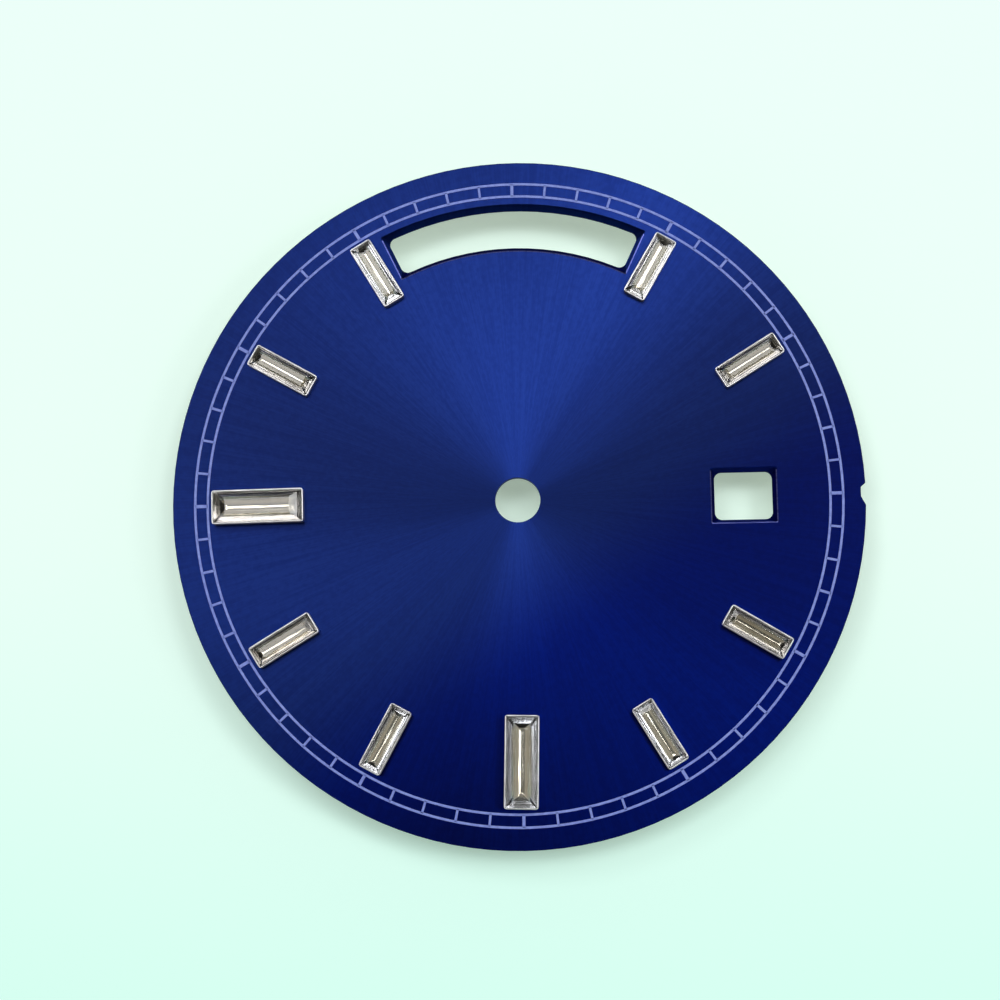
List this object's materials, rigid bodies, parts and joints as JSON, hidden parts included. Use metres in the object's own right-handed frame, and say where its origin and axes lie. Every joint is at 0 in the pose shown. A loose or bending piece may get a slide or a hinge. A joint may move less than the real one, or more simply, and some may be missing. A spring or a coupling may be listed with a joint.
{
  "type": "watch dial",
  "caption": "Round blue sunray watch dial with step-cut stone hour markers in bright settings, a printed minute track, a curved day window at 12 and a date window at 3.",
  "frame": {"origin": "centre of the bore at the plate's back face", "axes": "+Z out of the front along the bore, +Y to 12 o'clock, +X to 3 o'clock"},
  "size_m": [0.0284, 0.0284, 0.0031],
  "materials": {
    "blue_lacquered_plate": "sunray-brushed front under clear blue lacquer, plain brushed back",
    "track_ink": "printed ink",
    "bright_setting": "polished plating",
    "clear_stone": "clear step-cut glass with a silver foil back",
    "copper_foot": "bare drawn copper"
  },
  "bodies": {
    "root": {"dial_plate": "blue_lacquered_plate", "minute_track": "track_ink", "setting_01_oclock": "bright_setting", "stone_01_oclock": "clear_stone", "setting_02_oclock": "bright_setting", "stone_02_oclock": "clear_stone", "setting_04_oclock": "bright_setting", "stone_04_oclock": "clear_stone", "setting_05_oclock": "bright_setting", "stone_05_oclock": "clear_stone", "setting_06_oclock": "bright_setting", "stone_06_oclock": "clear_stone", "setting_07_oclock": "bright_setting", "stone_07_oclock": "clear_stone", "setting_08_oclock": "bright_setting", "stone_08_oclock": "clear_stone", "setting_09_oclock": "bright_setting", "stone_09_oclock": "clear_stone", "setting_10_oclock": "bright_setting", "stone_10_oclock": "clear_stone", "setting_11_oclock": "bright_setting", "stone_11_oclock": "clear_stone", "upper_dial_foot": "copper_foot", "lower_dial_foot": "copper_foot"}
  },
  "joints": []
}
